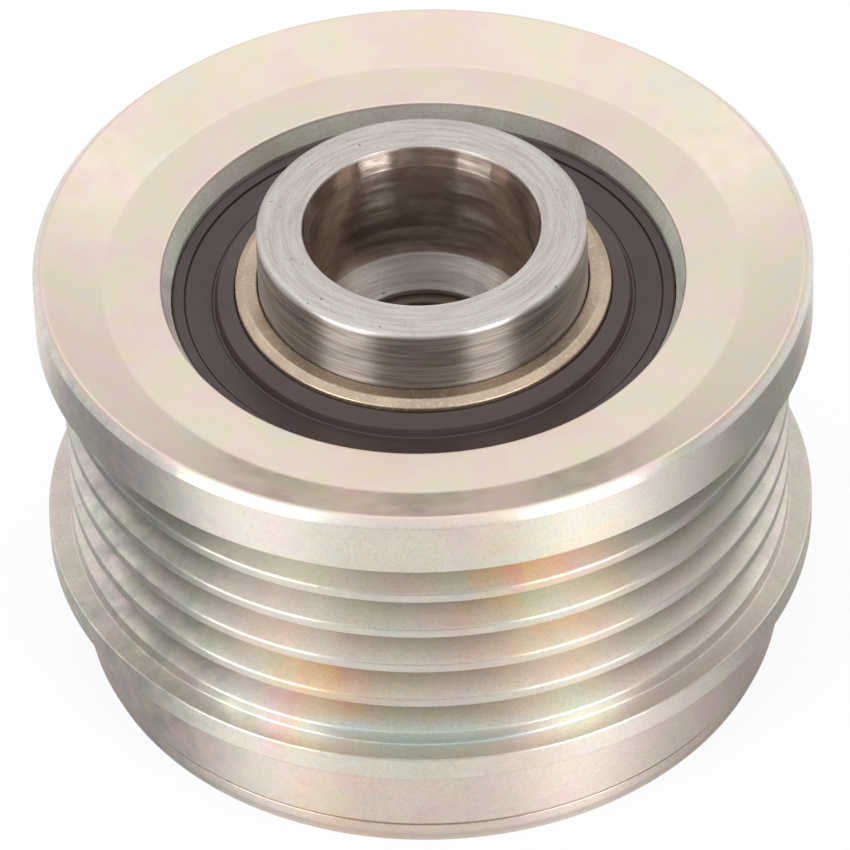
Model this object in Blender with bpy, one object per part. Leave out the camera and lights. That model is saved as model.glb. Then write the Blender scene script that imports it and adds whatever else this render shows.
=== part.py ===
"""Alternator pulley with a one-way clutch, modelled as the pieces it comes apart into.

The pulley stands on its front rim, with the belt grooves round it and the hub's rear end up.
Everything is turned about the Z axis. Sizes are in metres, so each one is written as N * MM.
Radii grow outwards from the hub bore and lengths grow upwards from the front rim, so a change
of one size moves what is built on it.
"""

from math import acos, cos, pi, radians, sin, sqrt, tan

import bmesh
import bpy
from mathutils import Matrix

MM = 0.001

# Clearances
SEAT_GAP = 0.3 * MM            # between a pressed piece and its seat
RUNNING_GAP = 0.3 * MM         # between pieces that turn past each other
ROLLING_GAP = 0.15 * MM        # round each ball and roller
POCKET_GAP = 0.2 * MM          # round a ball in its cage pocket

# Hub sleeve
SHAFT_BORE_DIAMETER = 17.0 * MM
SHAFT_BORE_DEPTH = 10.3 * MM
MOUTH_TAPER = 0.45 * MM        # widening of the shaft bore at its mouth, on the radius
MOUTH_TAPER_LENGTH = 1.6 * MM
THREAD_DIAMETER = 12.3 * MM
BORE_FLOOR_DROP = 1.7 * MM     # fall of the conical floor from the bore wall to the thread
HUB_WALL = 3.85 * MM
HUB_PROJECTION = 3.1 * MM      # above the rear rim
HUB_EDGE = 0.5 * MM
HUB_FRONT_SETBACK = 0.9 * MM   # behind the front rim
COLLAR_HEIGHT = 1.45 * MM      # on the radius, behind the front bearing
TOOL_SOCKET_DEPTH = 12.6 * MM
TOOL_SOCKET_DIAMETER = 15.6 * MM
TOOL_TOOTH_HEIGHT = 0.8 * MM
TOOL_TEETH = 33

# Ball bearings, one at each end
BEARING_WIDTH = 7.0 * MM
INNER_RING_WALL = 1.45 * MM
OUTER_RING_WALL = 1.15 * MM
BALL_DIAMETER = 3.97 * MM
BALL_COUNT = 12
RACE_GROOVE_DEPTH = 0.44 * MM
RING_EDGE = 0.6 * MM
INNER_RING_PROUD = 1.2 * MM    # height of the inner ring above the foot of the seal's lip
CROWN_BASE = 0.8 * MM          # solid rim of the ball cage, behind its pockets
CROWN_HORN = 1.2 * MM          # height of its horns above the balls' centres

# Seals, one at each end
SEAL_THICKNESS = 1.2 * MM
SEAL_LIP_WIDTH = 1.05 * MM     # conical lip that rises towards the inner ring
SEAL_LIP_RISE = 0.55 * MM
SEAL_STEP = 0.6 * MM           # fall from the lip's foot to the band round it
SEAL_STEP_WIDTH = 0.3 * MM
SEAL_BAND_RISE = 0.25 * MM     # of the band towards the seal's rim
SEAL_RIM_WIDTH = 0.85 * MM
SEAL_RIM_DEPTH = 0.25 * MM     # below the lip's foot
REAR_SEAL_DEPTH = 3.3 * MM     # of the lip's foot below the rear rim
FRONT_SEAL_DEPTH = 2.4 * MM    # of the lip's foot behind the front rim

# One-way clutch
RACE_WALL = 1.35 * MM
ROLLER_DIAMETER = 2.5 * MM
ROLLER_COUNT = 8
ROLLER_EDGE = 0.2 * MM
RAMP_ANGLE = radians(6)
RAMP_TO_STOP = 2.2 * MM        # from the roller's middle to the deep end of its ramp
RAMP_RISE = 0.5 * MM           # from the ramp at the roller to the cam's full radius
CAGE_RIM = 1.2 * MM            # solid rim at each end of the roller cage
SPRING_LENGTH = 2.3 * MM
SPRING_WIDTH = 5.0 * MM
SPRING_STRIP = 0.15 * MM
SPRING_LEGS = 4

# Belt grooves
GROOVE_COUNT = 5
GROOVE_PITCH = 3.56 * MM
GROOVE_HALF_ANGLE = radians(20)
GROOVE_FLOOR_WIDTH = 0.6 * MM
RIB_TIP_WIDTH = 0.8 * MM
SHELL_WALL = 5.5 * MM          # under the grooves

# Pulley shell
FLANGE_HEIGHT = 1.75 * MM      # above the rib tips
REAR_RIM_WIDTH = 4.8 * MM
REAR_RIM_EDGE = 0.6 * MM
REAR_RIM_LAND = 0.2 * MM
FRONT_FLANGE_WIDTH = 2.05 * MM
FRONT_FLANGE_EDGE = 0.1 * MM
FIRST_LAND_WIDTH = 1.06 * MM
FACE_DEPTH = 1.8 * MM          # of the dished rear face below its rim
FACE_FLAT_WIDTH = 4.3 * MM
LEAD_IN_WIDTH = 0.75 * MM
LEAD_IN_DEPTH = 1.5 * MM
BODY_LENGTH = 6.9 * MM
BODY_STEP = 0.52 * MM          # below the rib tips, on the radius
SPIGOT_LENGTH = 2.35 * MM
SPIGOT_STEP = 0.2 * MM
SPIGOT_TAPER = 0.43 * MM       # on the radius, at the front rim
SPIGOT_TAPER_LENGTH = 1.1 * MM
CAP_GROOVE_WIDTH = 0.35 * MM
CAP_GROOVE_DEPTH = 0.3 * MM

# Facets
SHELL_FACETS = 48
RING_FACETS = 32
GROOVE_ARC_STEPS = 4
BALL_FACETS = 8
ROLLER_FACETS = 10

# Radii, from the middle outwards
shaft_bore = SHAFT_BORE_DIAMETER / 2
thread_bore = THREAD_DIAMETER / 2
hub_radius = shaft_bore + HUB_WALL
ring_bore = hub_radius + SEAT_GAP
inner_land = ring_bore + INNER_RING_WALL
ball_radius = BALL_DIAMETER / 2
ball_path = inner_land - RACE_GROOVE_DEPTH + ROLLING_GAP + ball_radius
outer_land = 2 * ball_path - inner_land
outer_ring = outer_land + OUTER_RING_WALL
shell_bore = outer_ring + SEAT_GAP
race_bore = outer_ring - RACE_WALL
roller_radius = ROLLER_DIAMETER / 2
roller_path = race_bore - ROLLING_GAP - roller_radius
ramp_height = roller_path - roller_radius - ROLLING_GAP
cam_radius = ramp_height + RAMP_RISE
groove_floor = shell_bore + SHELL_WALL
rib_half_width = (GROOVE_PITCH - RIB_TIP_WIDTH) / 2
rib_tip = groove_floor + (rib_half_width - GROOVE_FLOOR_WIDTH / 2) / tan(GROOVE_HALF_ANGLE)
flange_radius = rib_tip + FLANGE_HEIGHT
body_radius = rib_tip - BODY_STEP
spigot_radius = body_radius - SPIGOT_STEP

# Heights, from the front rim upwards
body_top = SPIGOT_LENGTH + BODY_LENGTH
front_flange_top = body_top + FRONT_FLANGE_WIDTH
first_groove = front_flange_top + FIRST_LAND_WIDTH + rib_half_width
last_groove = first_groove + (GROOVE_COUNT - 1) * GROOVE_PITCH
rear_rim_bottom = last_groove + rib_half_width + FLANGE_HEIGHT * tan(GROOVE_HALF_ANGLE)
shell_top = rear_rim_bottom + REAR_RIM_EDGE + REAR_RIM_WIDTH
hub_top = shell_top + HUB_PROJECTION
rear_seal_foot = shell_top - REAR_SEAL_DEPTH
rear_bearing_top = rear_seal_foot - SEAL_THICKNESS - SEAT_GAP
rear_bearing_bottom = rear_bearing_top - BEARING_WIDTH
front_seal_foot = FRONT_SEAL_DEPTH
front_bearing_bottom = front_seal_foot + SEAL_THICKNESS + SEAT_GAP
front_bearing_top = front_bearing_bottom + BEARING_WIDTH
clutch_bottom = front_bearing_top + SEAT_GAP
clutch_top = rear_bearing_bottom - SEAT_GAP
clutch_middle = (clutch_bottom + clutch_top) / 2
roller_length = clutch_top - clutch_bottom - 2 * (CAGE_RIM + 2 * RUNNING_GAP)


def clear_scene():
    for thing in list(bpy.data.objects):
        bpy.data.objects.remove(thing, do_unlink=True)


def make_material(name, colour, roughness, metallic):
    material = bpy.data.materials.new(name)
    material.use_nodes = True
    shader = material.node_tree.nodes["Principled BSDF"]
    shader.inputs["Base Color"].default_value = (*colour, 1.0)
    shader.inputs["Roughness"].default_value = roughness
    shader.inputs["Metallic"].default_value = metallic
    return material


def add_object(name, bm, material, parent):
    """Turn a bmesh into a named, smooth-shaded object under its body's empty."""
    bmesh.ops.remove_doubles(bm, verts=bm.verts, dist=0.0001 * MM)
    bmesh.ops.recalc_face_normals(bm, faces=bm.faces)
    if bm.calc_volume(signed=True) < 0:
        bmesh.ops.reverse_faces(bm, faces=bm.faces)
    mesh = bpy.data.meshes.new(name)
    bm.to_mesh(mesh)
    bm.free()
    mesh.shade_smooth()
    mesh.set_sharp_from_angle(angle=radians(30))
    if material:
        mesh.materials.append(material)
    thing = bpy.data.objects.new(name, mesh)
    bpy.context.scene.collection.objects.link(thing)
    thing.parent = parent
    return thing


def add_body(name):
    """Empty on the pulley's axis that carries the pieces which turn together."""
    body = bpy.data.objects.new(name, None)
    bpy.context.scene.collection.objects.link(body)
    return body


def arc(middle, radius, start, end, steps):
    """Points of an arc in the profile plane, from one angle to another."""
    angles = [start + (end - start) * i / steps for i in range(steps + 1)]
    return [(middle[0] + radius * cos(a), middle[1] + radius * sin(a)) for a in angles]


def turned(profile, facets):
    """Ring with the closed (radius, height) profile, spun once round the axis."""
    bm = bmesh.new()
    verts = [bm.verts.new((r, 0.0, z)) for r, z in profile]
    edges = [bm.edges.new((verts[i - 1], verts[i])) for i in range(len(verts))]
    bmesh.ops.spin(bm, geom=verts + edges, cent=(0, 0, 0), axis=(0, 0, 1),
                   angle=2 * pi, steps=facets, use_merge=True)
    return bm


def prism(outline, bottom, top):
    """Straight prism over a closed (x, y) outline."""
    bm = bmesh.new()
    base = bm.faces.new([bm.verts.new((x, y, bottom)) for x, y in outline])
    raised = bmesh.ops.extrude_face_region(bm, geom=[base])["geom"]
    verts = [item for item in raised if isinstance(item, bmesh.types.BMVert)]
    bmesh.ops.translate(bm, verts=verts, vec=(0, 0, top - bottom))
    return bm


def cut(thing, cutter):
    """Take a hidden cutter away from an object."""
    cutter.hide_render = True
    cutter.display_type = "WIRE"
    modifier = thing.modifiers.new(cutter.name, "BOOLEAN")
    modifier.operation = "DIFFERENCE"
    modifier.solver = "EXACT"
    modifier.object = cutter


def belt_grooves():
    """Profile from the front flange's upper face over the V grooves to the rear flange."""
    points = []
    for i in range(GROOVE_COUNT):
        middle = first_groove + i * GROOVE_PITCH
        points += [(rib_tip, middle - rib_half_width),
                   (groove_floor, middle - GROOVE_FLOOR_WIDTH / 2),
                   (groove_floor, middle + GROOVE_FLOOR_WIDTH / 2)]
        if i < GROOVE_COUNT - 1:
            points.append((rib_tip, middle + rib_half_width))
    return points


def shell_profile():
    cap_groove_top = SPIGOT_LENGTH
    recess_edge = shell_bore + LEAD_IN_WIDTH
    dish_bottom = shell_top - FACE_DEPTH
    outside = [
        (spigot_radius - SPIGOT_TAPER, 0.0),
        (spigot_radius, SPIGOT_TAPER_LENGTH),
        (spigot_radius, cap_groove_top - CAP_GROOVE_WIDTH),
        (spigot_radius - CAP_GROOVE_DEPTH, cap_groove_top - CAP_GROOVE_WIDTH),
        (spigot_radius - CAP_GROOVE_DEPTH, cap_groove_top),
        (body_radius, cap_groove_top),
        (body_radius, body_top),
        (flange_radius - FRONT_FLANGE_EDGE, body_top),
        (flange_radius, body_top + FRONT_FLANGE_EDGE),
        (flange_radius, front_flange_top - FRONT_FLANGE_EDGE),
        (flange_radius - FRONT_FLANGE_EDGE, front_flange_top),
        (rib_tip, front_flange_top),
    ]
    rear_flange = [
        (flange_radius - REAR_RIM_EDGE, rear_rim_bottom),
        (flange_radius, rear_rim_bottom + REAR_RIM_EDGE),
        (flange_radius, shell_top - REAR_RIM_EDGE),
        (flange_radius - REAR_RIM_EDGE, shell_top),
        (flange_radius - REAR_RIM_EDGE - REAR_RIM_LAND, shell_top),
        (recess_edge + FACE_FLAT_WIDTH, dish_bottom),
        (recess_edge, dish_bottom),
    ]
    inside = [
        (shell_bore, dish_bottom - LEAD_IN_DEPTH),
        (shell_bore, LEAD_IN_DEPTH),
        (recess_edge, 0.0),
    ]
    return outside + belt_grooves() + rear_flange + inside


def hub_profile():
    collar = hub_radius + COLLAR_HEIGHT
    collar_top = front_seal_foot - SEAT_GAP
    bore_floor = hub_top - SHAFT_BORE_DEPTH
    return [
        (collar - HUB_EDGE, HUB_FRONT_SETBACK),
        (collar, HUB_FRONT_SETBACK + HUB_EDGE),
        (collar, collar_top),
        (hub_radius, collar_top),
        (hub_radius, hub_top - HUB_EDGE),
        (hub_radius - HUB_EDGE, hub_top),
        (shaft_bore + MOUTH_TAPER, hub_top),
        (shaft_bore, hub_top - MOUTH_TAPER_LENGTH),
        (shaft_bore, bore_floor),
        (thread_bore, bore_floor - BORE_FLOOR_DROP),
        (thread_bore, HUB_FRONT_SETBACK),
    ]


def tool_socket_outline():
    """Outline of the splined socket: one pointed notch for each tooth of the key."""
    inner = TOOL_SOCKET_DIAMETER / 2
    outer = inner + TOOL_TOOTH_HEIGHT
    points = []
    for i in range(2 * TOOL_TEETH):
        angle = pi * i / TOOL_TEETH
        radius = outer if i % 2 else inner
        points.append((radius * cos(angle), radius * sin(angle)))
    return points


def race_groove(land, middle, facing):
    """Points of a ball groove cut into a ring's land, from its lower edge to its upper edge."""
    radius = ball_radius + ROLLING_GAP
    half = acos(abs(ball_path - land) / radius)
    if facing == "outwards":
        return arc((ball_path, middle), radius, pi + half, pi - half, GROOVE_ARC_STEPS)
    return arc((ball_path, middle), radius, -half, half, GROOVE_ARC_STEPS)


def inner_ring_profile(bottom, top, middle):
    return [
        (ring_bore, bottom),
        (inner_land - RING_EDGE, bottom),
        (inner_land, bottom + RING_EDGE),
        *race_groove(inner_land, middle, "outwards"),
        (inner_land, top - RING_EDGE),
        (inner_land - RING_EDGE, top),
        (ring_bore, top),
    ]


def outer_ring_profile(bottom, top, middle):
    return [
        (outer_ring, bottom),
        (outer_ring, top),
        (outer_land, top),
        *reversed(race_groove(outer_land, middle, "inwards")),
        (outer_land, bottom),
    ]


def seal_profile(foot, side):
    """Stepped seal by the height of its lip's foot; side is 1 facing up, -1 facing down."""
    lip_edge = inner_land + RUNNING_GAP
    lip_end = lip_edge + SEAL_LIP_WIDTH
    band_start = lip_end + SEAL_STEP_WIDTH
    rim_edge = shell_bore - SEAT_GAP
    rim_start = rim_edge - SEAL_RIM_WIDTH
    back = SEAL_THICKNESS
    steps = [
        (lip_edge, -SEAL_LIP_RISE), (lip_end, 0.0),
        (band_start, SEAL_STEP), (rim_start, SEAL_STEP - SEAL_BAND_RISE),
        (rim_start, SEAL_RIM_DEPTH), (rim_edge, SEAL_RIM_DEPTH),
        (rim_edge, back), (lip_edge, back),
    ]
    return [(radius, foot - side * depth) for radius, depth in steps]


def add_ball_cage(name, middle, side, material, parent):
    """Snap cage: a ring with a round pocket for each ball, open on the side of its horns."""
    inner = inner_land + RUNNING_GAP
    outer = outer_land - RUNNING_GAP
    pocket = ball_radius + POCKET_GAP
    base = middle - side * (pocket + CROWN_BASE)
    horns = middle + side * CROWN_HORN
    ring = [(inner, base), (outer, base), (outer, horns), (inner, horns)]
    cage = add_object(name, turned(ring, 4 * BALL_COUNT), material, parent)
    bm = bmesh.new()
    for i in range(BALL_COUNT):
        place = (Matrix.Rotation(2 * pi * i / BALL_COUNT, 4, "Z")
                 @ Matrix.Translation((ball_path, 0, middle))
                 @ Matrix.Rotation(pi / 2, 4, "Y"))
        bmesh.ops.create_cone(bm, cap_ends=True, segments=ROLLER_FACETS, radius1=pocket,
                              radius2=pocket, depth=2 * (outer - inner), matrix=place)
    cut(cage, add_object(name + "_pockets", bm, None, parent))


def add_bearing(place, bottom, side, metals, bodies):
    """Thin ball bearing; side is 1 where its seal is above it and -1 where it is below."""
    top = bottom + BEARING_WIDTH
    middle = bottom + BEARING_WIDTH / 2
    reach = SEAT_GAP + SEAL_THICKNESS + (INNER_RING_PROUD if side > 0 else 0)
    ring_top = top + (reach if side > 0 else 0)
    ring_bottom = bottom - (0 if side > 0 else reach)
    inner_profile = inner_ring_profile(ring_bottom, ring_top, middle)
    add_object(place + "_inner_ring", turned(inner_profile, RING_FACETS),
               metals["ring"], bodies["hub"])
    add_object(place + "_outer_ring", turned(outer_ring_profile(bottom, top, middle), RING_FACETS),
               metals["ring"], bodies["pulley"])
    add_ball_cage(place + "_ball_cage", middle, side, metals["cage"], bodies[place])
    for i in range(BALL_COUNT):
        angle = 2 * pi * i / BALL_COUNT
        bm = bmesh.new()
        bmesh.ops.create_uvsphere(bm, u_segments=BALL_FACETS, v_segments=BALL_FACETS - 2,
                                  radius=ball_radius)
        ball = add_object(f"{place}_ball_{i + 1:02d}", bm, metals["ball"], bodies[place])
        ball.location = (ball_path * cos(angle), ball_path * sin(angle), middle)
        ball.rotation_euler = (0, 0, angle)


def sector_points(local, angle):
    """Turn points given as (outwards, sideways) at one roller into the pulley's plane."""
    return [(x * cos(angle) - t * sin(angle), x * sin(angle) + t * cos(angle)) for x, t in local]


def cam_outline():
    """Cam with a rising ramp under each roller and a step at the ramp's deep end."""
    slope = tan(RAMP_ANGLE)
    deep = (ramp_height - RAMP_TO_STOP * slope, -RAMP_TO_STOP)
    step_scale = cam_radius / sqrt(deep[0] ** 2 + deep[1] ** 2)
    step = (deep[0] * step_scale, deep[1] * step_scale)
    # where the line x = ramp_height + t * slope meets the circle of the cam's full radius
    b = ramp_height * slope
    a = 1 + slope ** 2
    t_end = (-b + sqrt(b * b + a * (cam_radius ** 2 - ramp_height ** 2))) / a
    crest = (ramp_height + t_end * slope, t_end)
    points = []
    for i in range(ROLLER_COUNT):
        points += sector_points([step, deep, crest], 2 * pi * i / ROLLER_COUNT)
        start = 2 * pi * i / ROLLER_COUNT + sin(t_end / cam_radius)
        end = 2 * pi * (i + 1) / ROLLER_COUNT - sin(RAMP_TO_STOP / cam_radius)
        points += arc((0, 0), cam_radius, start, end, 3)[1:-1]
    return points


def spring_outline():
    """Folded strip spring between its cage web and its roller, as (outwards, sideways)."""
    start = -roller_radius - ROLLING_GAP - SPRING_LENGTH
    run = SPRING_LENGTH / SPRING_LEGS
    low = cam_radius + 2 * RUNNING_GAP + SPRING_STRIP
    high = race_bore - 2 * RUNNING_GAP - SPRING_STRIP
    lift = SPRING_STRIP / 2 * sqrt(1 + ((high - low) / run) ** 2)
    folds = [(low if i % 2 else high, start + i * run) for i in range(SPRING_LEGS + 1)]
    outer_side = [(x + lift, t) for x, t in folds]
    inner_side = [(x - lift, t) for x, t in reversed(folds)]
    return outer_side + inner_side


def add_clutch(metals, bodies):
    hub = bodies["hub"]
    race = [(race_bore, clutch_bottom), (outer_ring, clutch_bottom),
            (outer_ring, clutch_top), (race_bore, clutch_top)]
    add_object("clutch_race", turned(race, RING_FACETS), metals["ring"], bodies["pulley"])

    cam = add_object("clutch_cam_ring", prism(cam_outline(), clutch_bottom, clutch_top),
                     metals["ring"], hub)
    bm = bmesh.new()
    bmesh.ops.create_cone(bm, cap_ends=True, segments=RING_FACETS, radius1=ring_bore,
                          radius2=ring_bore, depth=2 * (clutch_top - clutch_bottom),
                          matrix=Matrix.Translation((0, 0, clutch_middle)))
    cut(cam, add_object("cam_ring_bore", bm, None, hub))

    inner = cam_radius + RUNNING_GAP
    outer = race_bore - RUNNING_GAP
    bottom = clutch_bottom + RUNNING_GAP
    top = clutch_top - RUNNING_GAP
    ring = [(inner, bottom), (outer, bottom), (outer, top), (inner, top)]
    cage = add_object("clutch_cage", turned(ring, RING_FACETS), metals["cage"], hub)
    window_start = -roller_radius - ROLLING_GAP - SPRING_LENGTH - SEAT_GAP
    window_end = roller_radius + RUNNING_GAP
    window_half = roller_length / 2 + RUNNING_GAP
    bm = bmesh.new()
    for i in range(ROLLER_COUNT):
        size = Matrix.Diagonal((2 * (outer - inner), window_end - window_start, 2 * window_half, 1))
        shift = Matrix.Translation((roller_path, (window_start + window_end) / 2, clutch_middle))
        turn = Matrix.Rotation(2 * pi * i / ROLLER_COUNT, 4, "Z")
        bmesh.ops.create_cube(bm, size=1.0, matrix=turn @ shift @ size)
    cut(cage, add_object("clutch_cage_windows", bm, None, hub))

    for i in range(ROLLER_COUNT):
        angle = 2 * pi * i / ROLLER_COUNT
        bm = bmesh.new()
        bmesh.ops.create_cone(bm, cap_ends=True, segments=ROLLER_FACETS, radius1=roller_radius,
                              radius2=roller_radius, depth=roller_length)
        rims = [edge for edge in bm.edges if abs(edge.verts[0].co.z - edge.verts[1].co.z) < MM]
        bmesh.ops.bevel(bm, geom=rims, offset=ROLLER_EDGE, segments=1, affect="EDGES")
        roller = add_object(f"clutch_roller_{i + 1:02d}", bm, metals["ball"], hub)
        roller.location = (roller_path * cos(angle), roller_path * sin(angle), clutch_middle)
        roller.rotation_euler = (0, 0, angle)

        strip = sector_points(spring_outline(), angle)
        width = min(SPRING_WIDTH, roller_length)
        spring = prism(strip, clutch_middle - width / 2, clutch_middle + width / 2)
        add_object(f"clutch_spring_{i + 1:02d}", spring, metals["spring"], hub)


def build():
    clear_scene()
    metals = {
        "plated": make_material("zinc_plated_steel", (0.76, 0.70, 0.62), 0.30, 1.0),
        "hub": make_material("turned_steel", (0.62, 0.58, 0.55), 0.32, 1.0),
        "ring": make_material("bearing_steel", (0.55, 0.46, 0.38), 0.38, 1.0),
        "ball": make_material("polished_steel", (0.75, 0.75, 0.76), 0.12, 1.0),
        "seal": make_material("seal_rubber", (0.075, 0.062, 0.064), 0.40, 0.0),
        "cage": make_material("cage_nylon", (0.62, 0.55, 0.40), 0.45, 0.0),
        "spring": make_material("spring_steel", (0.52, 0.52, 0.54), 0.25, 1.0),
    }
    bodies = {name: add_body(name + "_body") for name in ("pulley", "hub", "rear", "front")}

    add_object("pulley_shell", turned(shell_profile(), SHELL_FACETS),
               metals["plated"], bodies["pulley"])
    hub = add_object("hub_sleeve", turned(hub_profile(), SHELL_FACETS), metals["hub"], bodies["hub"])
    socket = prism(tool_socket_outline(), -HUB_FRONT_SETBACK, HUB_FRONT_SETBACK + TOOL_SOCKET_DEPTH)
    cut(hub, add_object("tool_socket", socket, None, bodies["hub"]))

    add_bearing("rear", rear_bearing_bottom, 1, metals, bodies)
    add_bearing("front", front_bearing_bottom, -1, metals, bodies)
    add_object("rear_seal", turned(seal_profile(rear_seal_foot, 1), RING_FACETS),
               metals["seal"], bodies["pulley"])
    add_object("front_seal", turned(seal_profile(front_seal_foot, -1), RING_FACETS),
               metals["seal"], bodies["pulley"])
    add_clutch(metals, bodies)


build()
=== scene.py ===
from math import cos, pi, radians, sin, tan

import bpy
import numpy as np
from bpy.props import FloatProperty, FloatVectorProperty, IntProperty, PointerProperty
from mathutils import Matrix, Vector


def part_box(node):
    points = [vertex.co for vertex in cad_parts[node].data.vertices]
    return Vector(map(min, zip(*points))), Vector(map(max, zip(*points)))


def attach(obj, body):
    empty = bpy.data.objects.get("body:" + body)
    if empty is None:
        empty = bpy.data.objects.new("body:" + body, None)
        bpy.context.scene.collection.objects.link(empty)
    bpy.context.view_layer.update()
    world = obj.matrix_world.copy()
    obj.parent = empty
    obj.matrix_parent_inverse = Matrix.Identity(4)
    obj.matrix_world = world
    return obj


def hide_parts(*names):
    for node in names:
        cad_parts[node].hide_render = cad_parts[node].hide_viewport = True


bl_info = {
    "name": "Alternator Pulley",
    "version": (1, 0, 0),
    "blender": (4, 5, 0),
    "location": "3D View > Sidebar > Pulley",
    "description": "Overrunning alternator pulley: plated shell, turned hub, seals and bearings",
    "category": "Add Mesh",
}

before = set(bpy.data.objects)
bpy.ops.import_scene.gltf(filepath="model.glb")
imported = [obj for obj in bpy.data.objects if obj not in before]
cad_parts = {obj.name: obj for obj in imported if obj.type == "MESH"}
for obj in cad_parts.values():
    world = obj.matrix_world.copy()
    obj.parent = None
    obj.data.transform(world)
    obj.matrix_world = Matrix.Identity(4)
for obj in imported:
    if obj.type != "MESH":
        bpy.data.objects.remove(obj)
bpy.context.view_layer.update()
MM = 0.001
PHOTO_SIDE = 850             # pixels
SEAT_GAP = 0.3 * MM          # between a pressed piece and its seat
ROLLING_GAP = 0.15 * MM      # round each ball and roller
RACE_GROOVE_DEPTH = 0.44 * MM
RACE_WALL = 1.35 * MM        # of the clutch race
SLIM_EDGE = 0.1 * MM         # small rounding of a turned edge


def reach(node):
    """Outer radius of a turned CAD node."""
    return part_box(node)[1].x


def floor_of(node):
    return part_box(node)[0].z


def top_of(node):
    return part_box(node)[1].z


class ShellSettings(bpy.types.PropertyGroup):
    """Sizes and finish of the plated pulley shell."""

    groove_pitch: FloatProperty(name="Groove Pitch", description="Distance between belt grooves",
                                default=3.56 * MM, unit="LENGTH")
    groove_count: IntProperty(name="Grooves", description="Number of belt grooves", default=5)
    groove_floor: FloatProperty(name="Groove Floor", description="Flat width at a groove's floor",
                                default=0.6 * MM, unit="LENGTH")
    rib_tip: FloatProperty(name="Rib Tip", description="Flat width of a rib's tip",
                           default=0.8 * MM, unit="LENGTH")
    rib_round: FloatProperty(name="Rib Rounding", description="Radius of a rib tip's edges",
                             default=0.2 * MM, unit="LENGTH")
    flange_height: FloatProperty(name="Flange Height", description="Flange above the rib tips",
                                 default=1.75 * MM, unit="LENGTH")
    rim_edge: FloatProperty(name="Rim Edge", description="Bevel of the rear rim's edges",
                            default=0.6 * MM, unit="LENGTH")
    face_depth: FloatProperty(name="Face Depth", description="Dish of the rear face",
                              default=1.8 * MM, unit="LENGTH")
    body_top: FloatProperty(name="Body Top", description="Height of the front flange's lower edge",
                            default=9.25 * MM, unit="LENGTH")
    face_flat: FloatProperty(name="Face Flat", description="Width of the rear face's flat part",
                             default=4.3 * MM, unit="LENGTH")
    colour: FloatVectorProperty(name="Plating", description="Colour of the zinc plating",
                                subtype="COLOR", size=3, default=(0.81, 0.71, 0.62))
    tint: FloatProperty(name="Rainbow Tint", description="Strength of the passivation's tints",
                        default=0.7, min=0.0, max=1.0, subtype="FACTOR")
    roughness: FloatProperty(name="Roughness", description="Roughness of the plating",
                             default=0.38, min=0.0, max=1.0, subtype="FACTOR")


class HubSettings(bpy.types.PropertyGroup):
    """Sizes and finish of the hub sleeve."""

    bore: FloatProperty(name="Shaft Bore", description="Diameter of the shaft bore",
                        default=17.0 * MM, unit="LENGTH")
    mouth_taper: FloatProperty(name="Mouth Taper", description="Length of the bore's tapered mouth",
                               default=1.6 * MM, unit="LENGTH")
    bore_depth: FloatProperty(name="Bore Depth", description="Depth of the shaft bore's wall",
                              default=10.3 * MM, unit="LENGTH")
    thread: FloatProperty(name="Thread", description="Inner diameter of the thread",
                          default=12.3 * MM, unit="LENGTH")
    thread_pitch: FloatProperty(name="Thread Pitch", description="Rise of the thread in one turn",
                                default=1.5 * MM, unit="LENGTH")
    socket_teeth: IntProperty(name="Socket Teeth", description="Splines of the tool socket",
                              default=33)
    edge: FloatProperty(name="Edge", description="Rounding of the hub's rear edge",
                        default=0.42 * MM, unit="LENGTH")
    colour: FloatVectorProperty(name="Steel", description="Colour of the turned steel",
                                subtype="COLOR", size=3, default=(0.60, 0.565, 0.54))
    roughness: FloatProperty(name="Roughness", description="Roughness of the turned steel",
                             default=0.42, min=0.0, max=1.0, subtype="FACTOR")


class BearingSettings(bpy.types.PropertyGroup):
    """Finish of the bearings and seals."""

    ball: FloatProperty(name="Ball", description="Diameter of a ball",
                        default=3.97 * MM, unit="LENGTH")
    ball_count: IntProperty(name="Balls", description="Balls in each bearing", default=12)
    ring_colour: FloatVectorProperty(name="Inner Ring", description="Tan of the inner ring",
                                     subtype="COLOR", size=3, default=(0.60, 0.48, 0.365))
    seal_lip_rise: FloatProperty(name="Seal Lip", description="Rise of the seal's lip to its edge",
                                 default=0.55 * MM, unit="LENGTH")
    seal_colour: FloatVectorProperty(name="Seal", description="Colour of the seals",
                                     subtype="COLOR", size=3, default=(0.054, 0.034, 0.032))
    cage_colour: FloatVectorProperty(name="Cage", description="Colour of the cages",
                                     subtype="COLOR", size=3, default=(0.62, 0.54, 0.38))


class ClutchSettings(bpy.types.PropertyGroup):
    """Sizes of the one-way clutch's rolling parts."""

    roller: FloatProperty(name="Roller", description="Diameter of a clutch roller",
                          default=2.5 * MM, unit="LENGTH")
    roller_count: IntProperty(name="Rollers", description="Rollers in the clutch", default=8)


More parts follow.
